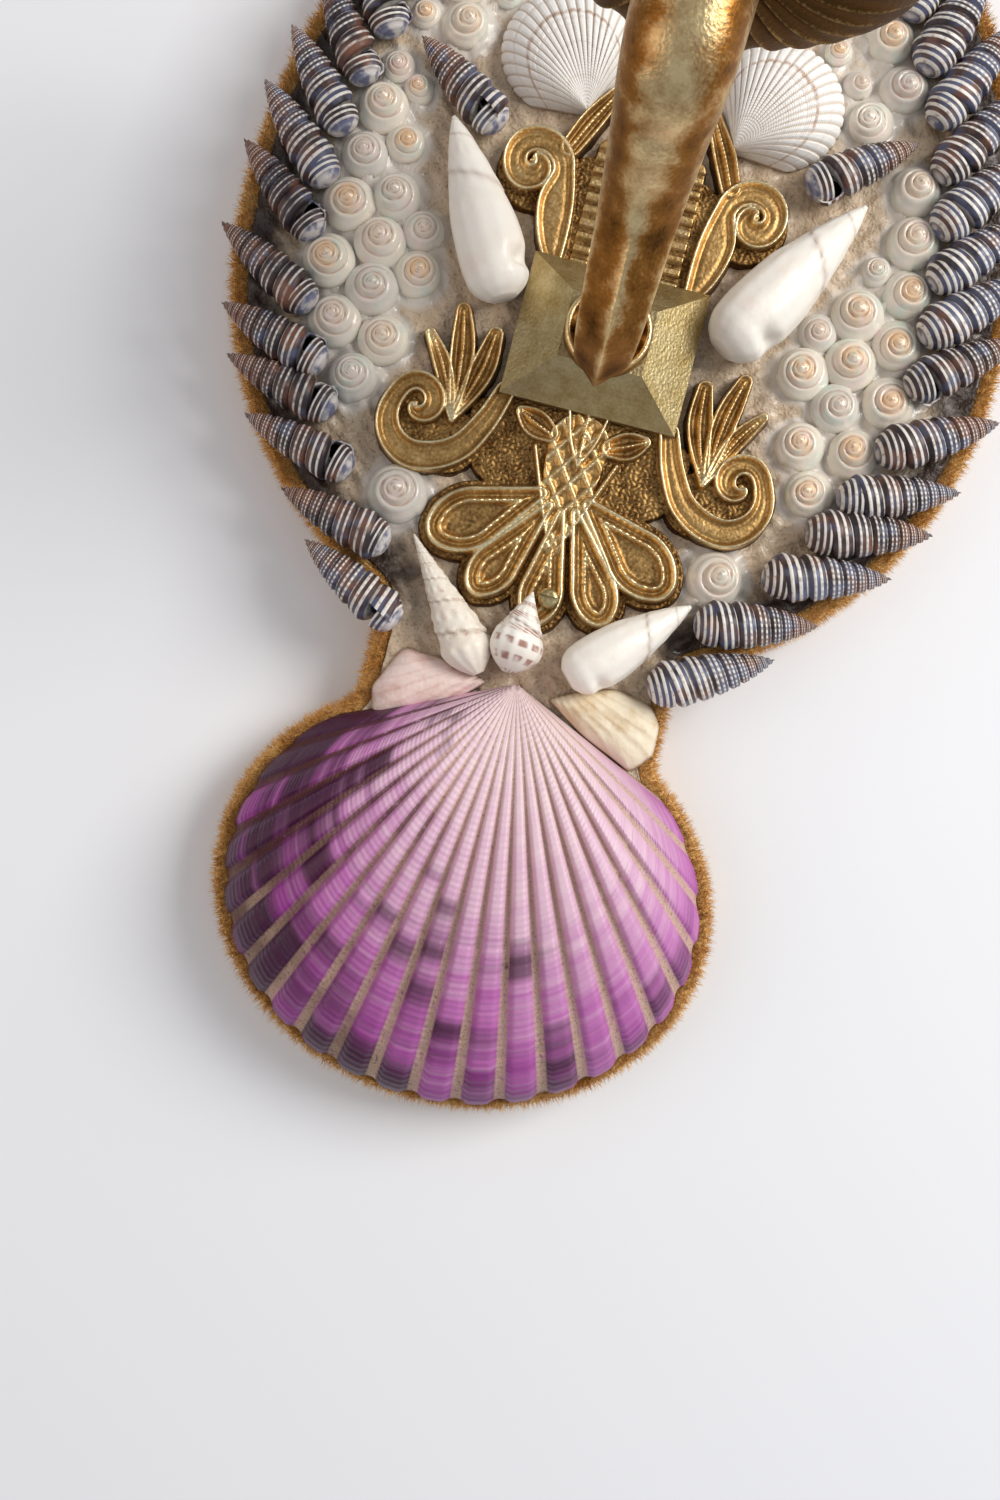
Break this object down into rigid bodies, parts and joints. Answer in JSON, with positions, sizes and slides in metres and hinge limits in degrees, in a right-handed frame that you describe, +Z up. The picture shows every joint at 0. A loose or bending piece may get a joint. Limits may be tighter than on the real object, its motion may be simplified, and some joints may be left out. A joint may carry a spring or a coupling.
{
  "type": "candle wall sconce",
  "caption": "Wall sconce: a velvet-wrapped board set with sea shells, a cast brass scroll plate, a curved arm and a lift-off candle nozzle with a drip pan.",
  "frame": {"origin": "on the wall plane, at the middle of the widest part of the egg-shaped body", "axes": "+X to the right seen from the room, +Y into the wall, +Z up"},
  "size_m": [0.158, 0.1335, 0.278],
  "materials": {
    "wood": "bare softwood, hidden by the velvet",
    "velvet": "gold velvet with a short pile",
    "glue": "dark glue with sand in it",
    "steel": "zinc plated",
    "brass": "cast, antiqued, with dark recesses",
    "scallop": "purple ribbed shell",
    "ear_pink": "pinkish white shell",
    "ear_cream": "cream shell",
    "white_shell": "white polished shell",
    "banded_shell": "white shell with red-brown bands",
    "horn_shell": "dark shell with pale spiral cords",
    "pearl_shell": "pearly shell"
  },
  "bodies": {
    "plaque": {"arm": "brass", "arm_boss": "brass", "arm_stud": "steel", "backboard": "wood", "brass_backplate": "brass", "cockle_left": "white_shell", "cockle_right": "white_shell", "glue_bed": "glue", "hanger_plate": "steel", "hanger_screws": "steel", "horn_shell_crown": "horn_shell", "horn_shells_left": "horn_shell", "horn_shells_right": "horn_shell", "inner_horn_shells": "horn_shell", "pearl_shells": "pearl_shell", "plate_screws": "brass", "rosette": "brass", "scallop_ear_left": "ear_pink", "scallop_ear_right": "ear_cream", "scallop_shell": "scallop", "spindle_shell": "white_shell", "striped_whelk": "banded_shell", "stud_nut": "steel", "stud_washer": "steel", "top_shells_crown": "pearl_shell", "top_shells_left": "pearl_shell", "top_shells_right": "pearl_shell", "turret_shell": "ear_cream", "velvet_cover": "velvet", "white_shell_left": "white_shell", "white_shell_right": "white_shell"},
    "nozzle": {"drip_pan": "brass", "candle_cup": "brass"}
  },
  "joints": [
    {"name": "nozzle_lift", "type": "slide", "parent": "plaque", "child": "nozzle", "axis": [0, 0, 1], "range_m": [0, 0.014]}
  ]
}
